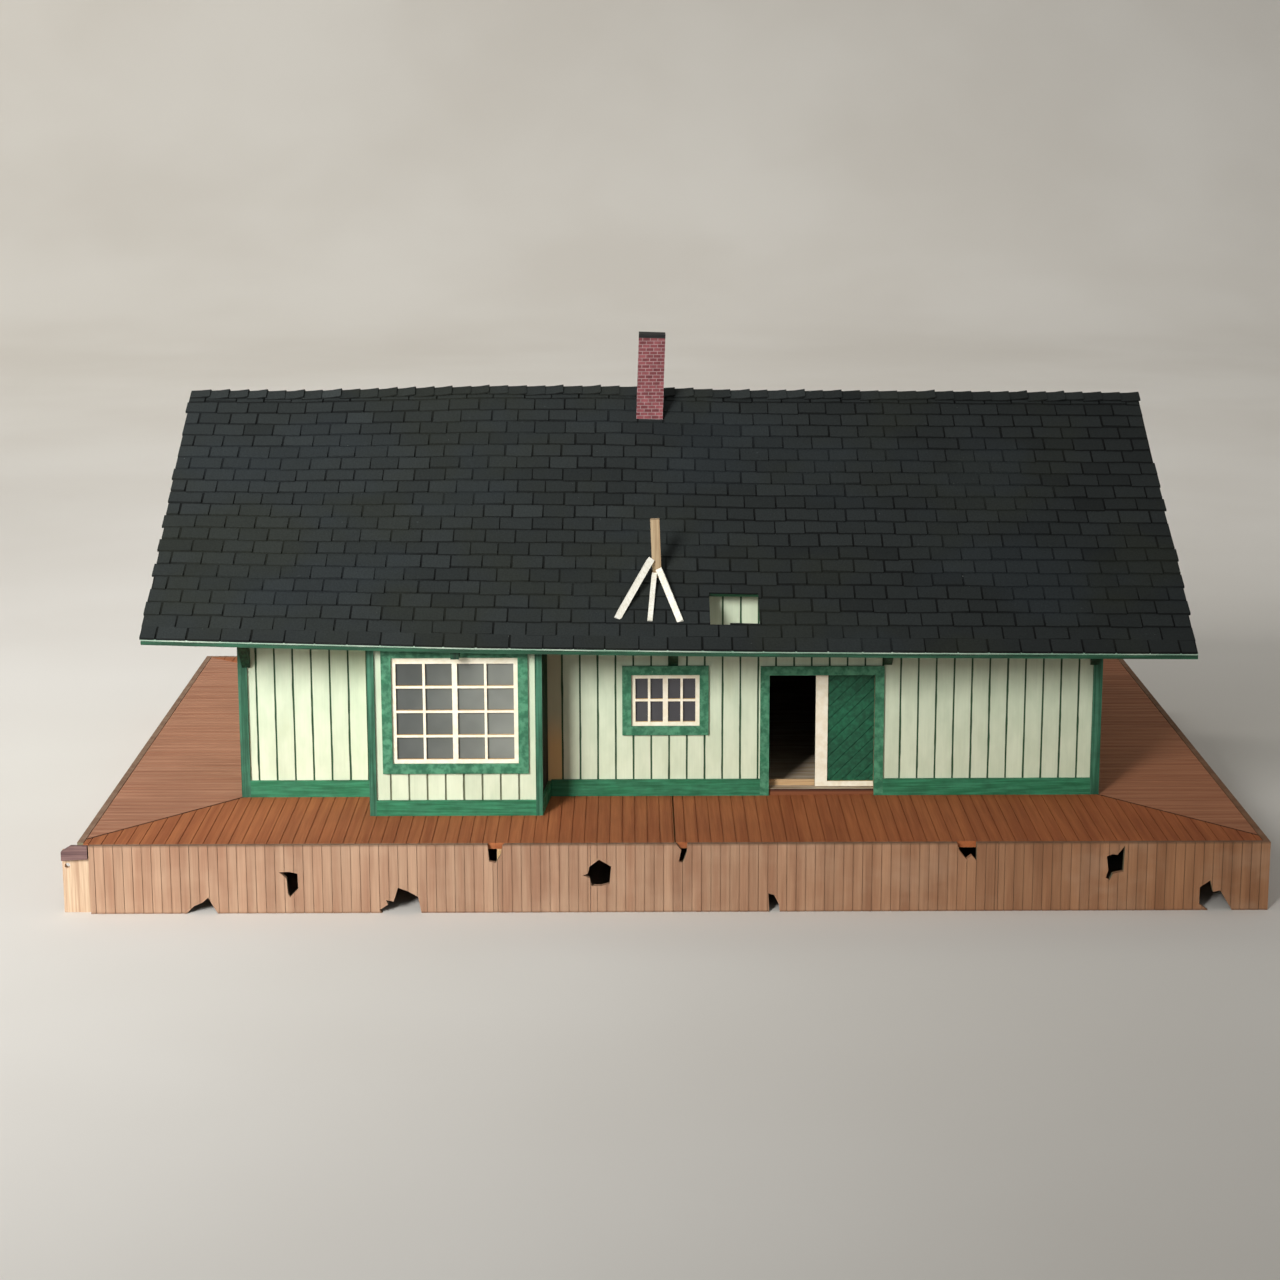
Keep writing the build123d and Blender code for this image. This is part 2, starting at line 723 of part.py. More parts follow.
def ridge_shingles():
    """Small folded shingles that lap one over the next along the ridge."""
    length = roof_length / ridge_shingles_count
    ys = (ridge_y - ridge_shingle_leg, ridge_y, ridge_y + ridge_shingle_leg)
    pieces = []
    for step in range(ridge_shingles_count):
        x0 = roof_left + step * length
        x1 = x0 + length
        ends = []
        for x, kick in ((x0, 0), (x1, ridge_shingle_kick)):
            under = [(x, y, board_top(x, y) + shingle_butt) for y in ys]
            over = [(x, y, z + ridge_shingle_thickness + kick) for x, y, z in reversed(under)]
            ends.append(Wire.make_polygon(under + over, close=True))
        pieces.append(Solid.make_loft(ends, ruled=True))
    return group(pieces)


def roof_formers():
    """Three gable-shaped formers under the boards, which locate the roof between the walls."""
    y0 = front_y + sheet + former_clearance
    y1 = rear_y - sheet - former_clearance
    z0 = board_top(roof_right, front_y) - board_drop - former_depth
    z1 = deck_top + wall_blank_height
    space = roof_side(front_eave_y, -board_drop) + roof_side(rear_eave_y, -board_drop)
    middle = (former_count - 1) / 2
    formers = []
    for step in range(former_count):
        x = (step - middle) * former_pitch
        formers.append(block(x - sheet / 2, x + sheet / 2, y0, y1, z0, z1) & space)
    return group(formers)


def chimney():
    """Square stack that leans slightly, cut to the slope at its foot, with a thin cap."""
    y = front_y + chimney_front + chimney_side / 2
    foot = deck_top + ridge_height - 3 * chimney_side
    tall = deck_top + chimney_top - foot - chimney_cap_height
    shift = (tall + chimney_cap_height) * tan(radians(chimney_lean)) / 2
    place = Location((chimney_x - shift, y, foot), (0, chimney_lean, 0))
    half = chimney_side / 2
    stack = place * block(-half, half, -half, half, 0, tall)
    cap = place * block(-half, half, -half, half, tall, tall + chimney_cap_height)
    return above_front_slope(stack, shingle_butt), cap


def signal_mast():
    """A bare square stick that stands on the front slope and leans slightly."""
    foot = deck_top + front_eave_height
    tall = deck_top + mast_top - foot
    half = strip_small / 2
    place = Location((mast_x, front_y + mast_y, foot), (0, mast_lean, 0))
    return above_front_slope(place * block(-half, half, -half, half, 0, tall), shingle_butt)


def mast_braces(mast):
    """Three flat braces from the mast down the slope to their feet."""
    pieces = []
    for foot_x, foot_y, top_x, top_z, width in braces:
        y = front_y + foot_y
        foot = (foot_x, y, board_top(foot_x, y))
        top = (top_x, front_y + mast_y - strip_small / 2, deck_top + top_z)
        pieces.append(above_front_slope(bar(foot, top, width, brace_depth), shingle_butt) - mast)
    left, middle, right = pieces
    trimmed = [left, middle - left - right, right - left]
    return group([max(piece.solids(), key=lambda solid: solid.volume) for piece in trimmed])


# ---- build every node

nodes = {}
nodes.update(deck_sheets())
nodes["fascia_front"] = fascia_front()
nodes["fascia_left"] = fascia_left()
nodes["fascia_right"] = fascia_right()
nodes["fascia_back"] = fascia_back()
nodes["corner_plate"] = corner_plate()
nodes["corner_chip"] = corner_chip()
nodes["platform_joists"] = platform_joists()
nodes["interior_floor"] = interior_floor()

nodes.update(walls())
nodes["wall_braces"] = wall_braces()
nodes["corner_posts"] = corner_posts()
nodes["bay_corner_posts"] = bay_corner_posts()
nodes["baseboards"] = baseboards()
nodes["bay_baseboard"] = bay_baseboard()
nodes["frieze_boards"] = frieze_boards()
nodes["eave_brackets"] = eave_brackets(nodes["frieze_boards"])

nodes["bay_window_casing"] = casing(bay_place, bay_window, bay_casing_width)
nodes["bay_window_sashes"] = sash_pair(bay_place, bay_window, 2, 4, bay_sash_top_rail)
nodes["bay_window_glazing"] = glazing(bay_place, bay_window)
nodes["front_window_casing"] = casing(front_place, front_window, casing_width)
nodes["front_window_sashes"] = sash_pair(front_place, front_window, 2, 2)
nodes["front_window_glazing"] = glazing(front_place, front_window)
nodes["rear_window_casings"] = group([casing(rear_place, window, casing_width) for window in rear_windows])
nodes["rear_window_sashes"] = group([sash_pair(rear_place, window, 2, 2) for window in rear_windows])
nodes["rear_window_glazing"] = group([glazing(rear_place, window) for window in rear_windows])
end_windows = ((left_place, left_end_window), (right_place, right_end_window))
nodes["end_window_casings"] = group([casing(place, window, casing_width) for place, window in end_windows])
nodes["end_window_sashes"] = group([sash_pair(place, window, 2, 2) for place, window in end_windows])
nodes["end_window_glazing"] = group([glazing(place, window) for place, window in end_windows])

nodes["freight_door_casing"] = casing(front_place, front_doorway, casing_width)
nodes["freight_door_track"] = door_track(front_place, track_left, track_right)
nodes["freight_door_panel"], nodes["freight_door_frame"] = sliding_door(front_place, front_door_left)
nodes["rear_door_casing"] = casing(rear_place, rear_doorway, casing_width)
nodes["rear_door_track"] = door_track(rear_place, -track_right, -track_left)
rear_door_start = -rear_door_left - door_width
nodes["rear_door_panel"], nodes["rear_door_frame"] = sliding_door(rear_place, rear_door_start)
nodes["passenger_door_casing"] = casing(left_place, left_end_doorway, casing_width)
nodes["passenger_door"] = passenger_door()

nodes["roof_board_front"], nodes["roof_board_back"] = roof_boards()
nodes["starter_strips"] = starter_strips()
nodes["shingles_front"] = group([course - roof_hole_cutter() for course in shingle_slope(front_eave_y)])
nodes["shingles_back"] = group(shingle_slope(rear_eave_y))
nodes["ridge_shingles"] = ridge_shingles()
nodes["roof_formers"] = roof_formers()
nodes["chimney_stack"], nodes["chimney_cap"] = chimney()
nodes["signal_mast"] = signal_mast()
nodes["mast_braces"] = mast_braces(nodes["signal_mast"])

os.makedirs("parts", exist_ok=True)
for name, shape in nodes.items():
    export_step(shape, f"parts/{name}.step")
print(len(nodes), "nodes written")
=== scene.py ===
import json
import math
import random

import bpy
from mathutils import Matrix, Vector


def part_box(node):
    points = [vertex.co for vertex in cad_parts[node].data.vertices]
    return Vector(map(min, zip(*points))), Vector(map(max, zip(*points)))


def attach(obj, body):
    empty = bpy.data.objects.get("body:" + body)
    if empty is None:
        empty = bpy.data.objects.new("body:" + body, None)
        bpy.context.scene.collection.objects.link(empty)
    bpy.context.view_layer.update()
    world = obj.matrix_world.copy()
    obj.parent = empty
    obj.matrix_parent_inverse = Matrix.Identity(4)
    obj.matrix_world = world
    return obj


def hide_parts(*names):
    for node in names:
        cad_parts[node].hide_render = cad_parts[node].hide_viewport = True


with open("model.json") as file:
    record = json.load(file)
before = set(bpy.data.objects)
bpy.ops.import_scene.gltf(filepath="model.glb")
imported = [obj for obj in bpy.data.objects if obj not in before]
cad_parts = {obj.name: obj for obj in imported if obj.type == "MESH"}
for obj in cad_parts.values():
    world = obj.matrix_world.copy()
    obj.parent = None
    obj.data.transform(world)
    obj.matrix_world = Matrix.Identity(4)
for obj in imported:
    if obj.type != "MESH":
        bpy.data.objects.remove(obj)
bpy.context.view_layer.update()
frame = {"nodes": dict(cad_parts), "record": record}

# Model railway depot in HO scale on a plank platform.
# Metres, +Z up; sizes below are written in millimetres x MM, and shader sizes in plain millimetres.
MM = 0.001
random.seed(7)
nodes = frame["nodes"]

# ---- driving dimensions that the pieces below are made to

GROOVE_PITCH = 4.7625 * MM
# First groove and spacing of the front walls and of the bay, in millimetres
FRONT_LEFT_GROOVES = (-109.6, 4.87)
FRONT_RIGHT_GROOVES = (-28.7, 4.72)
BAY_GROOVES = (-72.9, 4.76)
DECK_SCRIBE_PITCH = 3.175 * MM
# The deck's mitres run from the building's front corners, in millimetres, at this fall per run
MITRE_X, MITRE_Y, MITRE_LEAN = 113.5, -62.6, 1.129
FASCIA_SCRIBE_PITCH = 2.38125 * MM
# Half sizes along X and along Y that the scribed lines are spread over
DECK_HALF = (150.0 * MM, 108.0 * MM)
FASCIA_HALF = (150.0 * MM, 106.4 * MM)

SHINGLE_COURSES = 21
SHINGLE_WIDTH = 8.25 * MM
SHINGLE_SLOT = 0.42 * MM
SHINGLE_BUTT = 0.5 * MM
SHINGLE_HEAD = 0.15 * MM
STARTER = 0.4 * MM
RIDGE_CAPS = 51
RIDGE_CAP_LEG = 3.6 * MM
UNDERLAY_COLUMNS, UNDERLAY_ROWS = 24, 6
# Tone given to the underlay under the shingles; the card material turns it near black as painted shade in
# the slots.
SLOT_SHADE_TONE = 0.05

DOOR_STILE = 3.2 * MM
DOOR_RAIL = 1.4 * MM
DOOR_TOP_RAIL = 2.4 * MM
PLANK_WIDTH = 2.4 * MM
PLANK_GAP = 0.2 * MM
PLANK_THICKNESS = 0.3 * MM


# ---- camera

def aim(obj, place, pitch, yaw, roll):
    """Puts an object at a place, looking along +Y, then turned down, left and about its line of sight."""
    face = Matrix.Rotation(math.radians(yaw), 4, "Z") @ Matrix.Rotation(math.radians(90 - pitch), 4, "X")
    obj.matrix_world = Matrix.Translation(place) @ face @ Matrix.Rotation(math.radians(roll), 4, "Z")


camera_data = bpy.data.cameras.new("camera")
camera_data.sensor_width = 36
camera_data.lens = 75.56
camera_data.clip_start = 0.01
camera_data.clip_end = 20
camera = bpy.data.objects.new("camera", camera_data)
bpy.context.scene.collection.objects.link(camera)
aim(camera, Vector((-10.18, -754.73, 212.48)) * MM, 12.404, -0.177, -0.15)
bpy.context.scene.camera = camera
bpy.context.scene.view_settings.view_transform = "Standard"


# ---- materials

def srgb(red, green, blue):
    """A display colour, 0 to 255, as the linear colour that shaders take."""
    linear = []
    for value in (red, green, blue):
        share = value / 255
        linear.append(share / 12.92 if share <= 0.04045 else ((share + 0.055) / 1.055) ** 2.4)
    return (*linear, 1.0)


class Coat:
    """One node material, worked out from each piece's own coordinates in millimetres."""

    def __init__(self, name, roughness=0.8, specular=0.3):
        self.material = bpy.data.materials.new(name)
        self.material.use_nodes = True
        self.tree = self.material.node_tree
        self.shader = next(n for n in self.tree.nodes if n.type == "BSDF_PRINCIPLED")
        self.shader.inputs["Roughness"].default_value = roughness
        self.shader.inputs["Specular IOR Level"].default_value = specular
        place = self.add("ShaderNodeTexCoord")
        scale = {0: place.outputs["Object"], "Scale": 1000}
        self.at = self.add("ShaderNodeVectorMath", scale, operation="SCALE").outputs[0]
        parts = self.add("ShaderNodeSeparateXYZ", {0: self.at})
        self.x, self.y, self.z = parts.outputs
        facing = self.add("ShaderNodeSeparateXYZ", {0: place.outputs["Normal"]})
        self.facing = facing.outputs

    def add(self, kind, inputs=None, **settings):
        node = self.tree.nodes.new(kind)
        for key, value in settings.items():
            setattr(node, key, value)
        for key, value in (inputs or {}).items():
            if isinstance(value, bpy.types.NodeSocket):
                self.tree.links.new(value, node.inputs[key])
            else:
                node.inputs[key].default_value = value
        return node

    def math(self, operation, a, b=0.0, c=0.0):
        return self.add("ShaderNodeMath", {0: a, 1: b, 2: c}, operation=operation).outputs[0]

    def noise(self, per_mm, detail=3.0, shift=0.0, roughness=0.55, distortion=0.0):
        """Soft random value near 0.5; per_mm is how fast it changes along X, Y and Z."""
        inputs = {"Vector": self.at, "Scale": per_mm, "Location": (shift, shift, shift)}
        spread = self.add("ShaderNodeMapping", inputs)
        values = {"Vector": spread.outputs[0], "Scale": 1.0, "Detail": detail, "Roughness": roughness,
                  "Distortion": distortion}
        return self.add("ShaderNodeTexNoise", values).outputs[0]

    def rise(self, value, low, high, to_low=0.0, to_high=1.0):
        """Turns a value between low and high smoothly into one between to_low and to_high."""
        inputs = {0: value, 1: low, 2: high, 3: to_low, 4: to_high}
        return self.add("ShaderNodeMapRange", inputs, interpolation_type="SMOOTHSTEP").outputs[0]

    def mix(self, share, first, second):
        return self.add("ShaderNodeMix", {0: share, 6: first, 7: second}, data_type="RGBA").outputs[2]

    def shade(self, colour, amount):
        """Multiplies a colour by a grey amount."""
        inputs = {0: 1.0, 6: colour, 7: amount}
        return self.add("ShaderNodeMix", inputs, data_type="RGBA", blend_type="MULTIPLY").outputs[2]

    def attribute(self, name):
        return self.add("ShaderNodeAttribute", attribute_name=name).outputs["Fac"]

    def near_line(self, along, low, spacing, half_width, soft=0.06):
        """1 on evenly spaced lines across a coordinate and 0 between them."""
        start = self.math("SUBTRACT", along, low)
        away = self.math("PINGPONG", start, spacing / 2)
        return self.rise(self.math("SUBTRACT", away, half_width), -soft, soft, 1.0, 0.0)

    def per_board(self, along, low, spacing):
        """A random value that stays the same across each board."""
        number = self.math("FLOOR", self.math("DIVIDE", self.math("SUBTRACT", along, low), spacing))
        return self.add("ShaderNodeTexWhiteNoise", {"W": number}, noise_dimensions="1D").outputs["Value"]

    def done(self, colour, height=None, distance=0.05, strength=0.6, roughness=None):
        self.tree.links.new(colour, self.shader.inputs["Base Color"])
        if height is not None:
            inputs = {"Height": height, "Distance": distance * MM, "Strength": strength}
            bump = self.add("ShaderNodeBump", inputs)
            self.tree.links.new(bump.outputs[0], self.shader.inputs["Normal"])
        if roughness is not None:
            self.tree.links.new(roughness, self.shader.inputs["Roughness"])
        return self.material


ALONG_X, ALONG_Y, ALONG_Z = (0.03, 1, 1), (1, 0.03, 1), (1, 1, 0.03)


def scaled(direction, amount):
    return tuple(value * amount for value in direction)


def wood(name, pale, dark, grain, fine=2.2, roughness=0.85):
    """Bare or stained wood with fine fibres along one direction."""
    coat = Coat(name, roughness)
    fibres = coat.noise(scaled(grain, fine), 4, 3.0)
    broad = coat.noise(scaled(grain, 0.35), 2, 9.0)
    streak = coat.math("ADD", coat.math("MULTIPLY", fibres, 0.6), coat.math("MULTIPLY", broad, 0.4))
    colour = coat.mix(coat.rise(streak, 0.36, 0.64), srgb(*dark), srgb(*pale))
    return coat.done(colour, fibres, 0.06)


def floor_wood(name):
    """Pale floor sheet, with its edge that shows in the doorways painted dark brown as painted shadow."""
    coat = Coat(name, 0.85)
    fibres = coat.noise(scaled(ALONG_X, 2.2), 4, 3.0)
    colour = coat.mix(coat.rise(fibres, 0.36, 0.64), srgb(168, 140, 108), srgb(204, 190, 168))
    # Painted shadow: faces that look along Y, the edge seen in the doorways, go dark brown, darker higher
    # up, for the shadow under the floor.
    edge = coat.rise(coat.math("ABSOLUTE", coat.facing[1]), 0.5, 0.7)
    brown = coat.mix(coat.rise(coat.z, 18.3, 19.2), srgb(128, 76, 48), srgb(66, 38, 26))
    return coat.done(coat.mix(edge, colour, brown), fibres, 0.06)


def line_spacing(low, high, pitch):
    """The spacing that divides a width evenly, closest to the pitch, in millimetres."""
    return (high - low) / round((high - low) / pitch) / MM


def wall_paint(name, axis, first, spacing, face_axis, face, outward,
               line_tones=((30, 62, 40), (62, 98, 68)), stain=None):
    """Pale paint on scribed boards, with dark green in the grooves and bare wood on the inner face;
    creamier low down and greyer green high up, partly painted light and shade.
    """
    coat = Coat(name, 0.75, 0.25)
    along = (coat.x, coat.y)[axis]
    wander = coat.noise((0.35, 0.35, 0.05), 2, 5.0)
    moved = coat.math("ADD", along, coat.math("MULTIPLY_ADD", wander, 0.5, -0.25))
    blobs = coat.noise((0.5, 0.5, 0.16), 2, 31.0)
    width = coat.rise(blobs, 0.35, 0.75, 0.17, 0.3)
    away = coat.math("PINGPONG", coat.math("SUBTRACT", moved, first), spacing / 2)
    line = coat.rise(coat.math("SUBTRACT", away, width), -0.1, 0.1, 1.0, 0.0)
    depth = coat.math("MULTIPLY", coat.math("SUBTRACT", (coat.x, coat.y)[face_axis], face / MM), -outward)
    line = coat.math("MAXIMUM", line, coat.rise(depth, 0.2, 0.3))
    board = coat.per_board(along, first, spacing)
    mottle = coat.noise((0.25, 0.25, 0.1), 4, 2.0)
    paint = coat.mix(coat.rise(mottle, 0.3, 0.7), srgb(196, 210, 184), srgb(208, 220, 194))
    # Partly the paint's tone and partly painted light: the lower wall is creamier as painted bounce light
    # from the deck, and the upper wall greyer green as painted shade of the eave.
    creamy_lit_paint = coat.mix(coat.rise(mottle, 0.3, 0.7), srgb(206, 216, 188), srgb(218, 226, 199))
    paint = coat.mix(coat.rise(coat.z, 20, 56), creamy_lit_paint, paint)
    paint = coat.shade(paint, coat.rise(board, 0, 1, 0.95, 1.0))
    brushed = coat.noise((2.2, 2.2, 0.08), 3, 8.0)
    paint = coat.shade(paint, coat.rise(brushed, 0.3, 0.7, 0.96, 1.0))
    grime = coat.noise((0.12, 0.12, 0.05), 3, 22.0)
    paint = coat.mix(coat.rise(grime, 0.6, 0.8, 0.0, 0.35), paint, srgb(190, 200, 165))
    if stain is not None:
        brown = coat.mix(coat.rise(coat.z, 30, 42), srgb(226, 184, 124), srgb(186, 180, 148))
        near = coat.math("MULTIPLY", coat.rise(coat.x, stain - 0.1, stain + 0.1, 1.0, 0.0), 0.9)
        paint = coat.mix(near, paint, brown)
    green = coat.mix(coat.noise((0.4, 0.4, 0.15), 3, 12.0), srgb(*line_tones[0]), srgb(*line_tones[1]))
    colour = coat.mix(line, paint, green)
    bare = coat.mix(coat.rise(brushed, 0.35, 0.65), srgb(176, 146, 108), srgb(206, 180, 142))
    colour = coat.mix(coat.rise(depth, 0.9, 1.0), colour, bare)
    return coat.done(colour, brushed, 0.04)


def bay_side_paint_and_shade(name, first, spacing, split):
    """The bay's sides: pale boards on the left, and dark green fading to brown on the right, partly trim
    green and partly painted shade.
    """
    coat = Coat(name, 0.75, 0.25)
    streaks = coat.noise((1.2, 1.2, 0.08), 3, 8.0)
    away = coat.math("PINGPONG", coat.math("SUBTRACT", coat.y, first), spacing / 2)
    line = coat.rise(coat.math("SUBTRACT", away, 0.2), -0.1, 0.1, 1.0, 0.0)
    pale = coat.mix(coat.rise(streaks, 0.3, 0.7), srgb(206, 219, 194), srgb(226, 232, 204))
    pale = coat.mix(line, pale, srgb(52, 88, 60))
    # Painted shade: the right side goes dark green above and near-black brown lower down, standing for the
    # deep shadow that lies on it.
    dark = coat.mix(coat.rise(coat.z, 24, 52), srgb(34, 26, 16), srgb(20, 60, 36))
    dark = coat.shade(dark, coat.rise(streaks, 0.3, 0.7, 0.7, 1.1))
    return coat.done(coat.mix(coat.rise(coat.x, split - 0.1, split + 0.1), pale, dark), streaks, 0.04)


def brushed_green(name, grain, pale, dark, chips=True, roughness=0.5, deep=0.74):
    """Green paint laid on with a small brush: streaks along the strip, thin places and a few chips."""
    coat = Coat(name, roughness, 0.35)
    streaks = coat.noise(scaled(grain, 1.6), 3, 4.0)
    thin = coat.noise((0.16, 0.16, 0.2), 4, 14.0, 0.65)
    colour = coat.mix(coat.rise(streaks, 0.35, 0.68), srgb(*dark), srgb(*pale))
    colour = coat.shade(colour, coat.rise(thin, 0.32, 0.66, deep, 1.0))
    if chips:
        flakes = coat.noise((0.9, 0.9, 0.9), 4, 40.0, 0.65)
        colour = coat.mix(coat.rise(flakes, 0.74, 0.77), colour, srgb(186, 200, 170))
    gloss = coat.rise(thin, 0.3, 0.7, roughness + 0.15, roughness - 0.08)
    return coat.done(colour, streaks, 0.05, 0.5, gloss)


def deck_stain(name, across, grain, pale, dark):
    """Reddish stain on scribed sheet, darker towards the right partly as painted shade; across is the axis
    that the scribed lines repeat along.
    """
    coat = Coat(name, 0.8, 0.2)
    half = DECK_HALF[across]
    along = (coat.x, coat.y)[across]
    spacing = line_spacing(-half, half, DECK_SCRIBE_PITCH)
    fibres = coat.noise(scaled(grain, 2.6), 4, 3.0)
    broad = coat.noise(scaled(grain, 0.5), 3, 17.0)
    cloudy = coat.noise((0.03, 0.03, 0.03), 3, 6.0)
    colour = coat.mix(coat.rise(broad, 0.3, 0.7), srgb(*dark), srgb(*pale))
    colour = coat.shade(colour, coat.rise(fibres, 0.32, 0.68, 0.86, 1.0))
    colour = coat.shade(colour, coat.rise(cloudy, 0.3, 0.7, 0.86, 1.0))
    # Darker and warmer towards the right: partly the stain's tone and partly painted shade of the light's
    # falloff across the platform.
    right = (0.95, 0.78, 0.6, 1)
    colour = coat.mix(coat.rise(coat.x, -40, 150, 0.0, 0.7), colour, coat.shade(colour, right))
    board = coat.per_board(along, -half / MM, spacing)
    colour = coat.shade(colour, coat.rise(board, 0, 1, 0.97, 1.0))
    line = coat.near_line(along, -half / MM, spacing, 0.1)
    worn = coat.noise((0.2, 0.2, 0.2), 3, 20.0)
    line = coat.math("MULTIPLY", line, coat.rise(worn, 0.4, 0.7, 0.05, 0.4))
    colour = coat.mix(line, colour, srgb(112, 64, 40))
    reach = coat.math("SUBTRACT", coat.math("ABSOLUTE", coat.x), MITRE_X)
    mitre = coat.math("MULTIPLY_ADD", reach, -MITRE_LEAN, MITRE_Y)
    away = coat.math("ABSOLUTE", coat.math("SUBTRACT", coat.y, mitre))
    seam = coat.math("MULTIPLY", coat.rise(away, 0.35, 0.75, 0.85, 0.0), coat.rise(coat.y, 0, 1, 1.0, 0.0))
    colour = coat.mix(seam, colour, srgb(58, 30, 18))
    raw = coat.rise(coat.z, 16.1, 16.3)
    colour = coat.mix(raw, srgb(150, 118, 84), colour)
    return coat.done(colour, fibres, 0.05)


def fascia_stain(name, across, low, high):
    """Thin brown stain on scribed sheet standing on edge, with the grain upright."""
    coat = Coat(name, 0.8, 0.25)
    along = (coat.x, coat.y)[across]
    spacing = line_spacing(low, high, FASCIA_SCRIBE_PITCH)
    fibres = coat.noise(scaled(ALONG_Z, 2.4), 5, 3.0)
    broad = coat.noise((0.25, 0.25, 0.02), 3, 17.0)
    cloudy = coat.noise((0.05, 0.05, 0.08), 3, 26.0)
    colour = coat.mix(coat.rise(broad, 0.32, 0.68), srgb(156, 118, 94), srgb(180, 146, 120))
    # Darker and warmer towards the right: partly the stain's tone and partly painted shade of the light's
    # falloff.
    warm_and_shaded = coat.mix(coat.rise(broad, 0.32, 0.68), srgb(140, 96, 66), srgb(164, 118, 84))
    colour = coat.mix(coat.rise(coat.x, -60, 130), colour, warm_and_shaded)
    colour = coat.shade(colour, coat.rise(fibres, 0.3, 0.7, 0.88, 1.0))
    colour = coat.mix(coat.rise(cloudy, 0.45, 0.75, 0.0, 0.3), colour, srgb(190, 160, 134))
    board = coat.per_board(along, low / MM, spacing)
    colour = coat.shade(colour, coat.rise(board, 0, 1, 0.9, 1.0))
    line = coat.near_line(along, low / MM, spacing, 0.1)
    worn = coat.noise((0.25, 0.25, 0.05), 3, 20.0)
    line = coat.math("MULTIPLY", line, coat.rise(worn, 0.42, 0.62, 0.0, 0.4))
    colour = coat.mix(line, colour, srgb(118, 84, 62))
    # Darker bands along the top and bottom edges; the bottom band is painted contact shadow where the
    # fascia stands on the ground.
    edge = coat.math("MAXIMUM", coat.rise(coat.z, 17.2, 17.7), coat.rise(coat.z, 0.15, 0.6, 1.0, 0.0))
    colour = coat.mix(coat.math("MULTIPLY", edge, 0.45), colour, srgb(82, 60, 48))
    upper = coat.rise(coat.facing[2], 0.5, 0.7)
    face = coat.math("MAXIMUM", upper, coat.rise(coat.math("ABSOLUTE", coat.facing[1 - across]), 0.4, 0.6))
    torn = coat.mix(coat.noise((1.5, 1.5, 1.5), 3, 44.0), srgb(70, 60, 46), srgb(150, 142, 112))
    colour = coat.mix(face, torn, colour)
    return coat.done(colour, fibres, 0.08)


def shingle_card():
    """Charcoal granular card, each shingle a little different, with dust and faint coloured patches;
    painted shade darkens the right side, the butt edges and the slots.
    """
    coat = Coat("shingle_card", 0.9, 0.2)
    tone = coat.attribute("tone")
    colour = coat.mix(tone, srgb(26, 30, 30), srgb(50, 55, 55))
    # Painted shade: faces with the very low underlay tone, seen through the slots between shingles, go near
    # black.
    colour = coat.shade(colour, coat.rise(tone, 0.04, 0.08, 0.15, 1.0))
    # Painted shade: the shingles darken towards the right, the light's falloff painted in.
    colour = coat.shade(colour, coat.rise(coat.x, -110, 140, 1.05, 0.75))
    # Painted shade: faces that do not look upward, the shingles' butt edges, are darkened to about a third,
    # standing for the shadow line under each course.
    butt = coat.rise(coat.facing[2], 0.25, 0.5, 0.35, 1.0)
    colour = coat.shade(colour, butt)
    patches = coat.noise((0.03, 0.03, 0.03), 3, 6.0)
    colour = coat.mix(coat.rise(patches, 0.45, 0.65, 0.0, 0.4), colour, srgb(40, 43, 34))
    bluish = coat.noise((0.025, 0.025, 0.04), 2, 61.0)
    colour = coat.mix(coat.rise(bluish, 0.5, 0.7, 0.0, 0.35), colour, srgb(40, 47, 52))
    grains = coat.noise((2.4, 2.4, 2.4), 3, 11.0)
    colour = coat.shade(colour, coat.rise(grains, 0.3, 0.7, 0.8, 1.12))
    scuff = coat.noise((0.5, 0.5, 0.5), 4, 33.0, 0.7)
    colour = coat.mix(coat.rise(scuff, 0.68, 0.8, 0.0, 0.35), colour, srgb(96, 104, 106))
    dust = coat.noise((1.4, 1.4, 1.4), 2, 77.0, 0.6)
    colour = coat.mix(coat.rise(dust, 0.8, 0.82, 0.0, 0.8), colour, srgb(170, 176, 172))
    return coat.done(colour, grains, 0.08, 0.8)


def brick_paper():
    """Printed brick paper: small pinkish red bricks in running bond with greyish joints."""
    coat = Coat("brick_paper", 0.8, 0.25)
    side = coat.math("GREATER_THAN", coat.math("ABSOLUTE", coat.facing[0]), 0.7)
    across = coat.math("ADD", coat.math("MULTIPLY", coat.y, side),
                       coat.math("MULTIPLY", coat.x, coat.math("SUBTRACT", 1.0, side)))
    lean = coat.math("MULTIPLY", coat.z, 0.035)
    across = coat.math("SUBTRACT", across, coat.math("MULTIPLY", lean, coat.math("SUBTRACT", 1.0, side)))
    at = coat.add("ShaderNodeCombineXYZ", {0: across, 1: coat.z, 2: 0.0}).outputs[0]
    bricks = coat.add("ShaderNodeTexBrick", {
        "Vector": at, "Color1": srgb(146, 82, 86), "Color2": srgb(112, 56, 60),
        "Mortar": srgb(158, 132, 132), "Scale": 1.0, "Mortar Size": 0.11, "Mortar Smooth": 0.3,
        "Bias": 0.0, "Brick Width": 2.1, "Row Height": 0.95,
    })
    blotch = coat.noise((0.6, 0.6, 0.6), 3, 5.0)
    colour = coat.shade(bricks.outputs[0], coat.rise(blotch, 0.3, 0.7, 0.75, 1.05))
    return coat.done(colour, bricks.outputs[1], 0.04, -0.4)


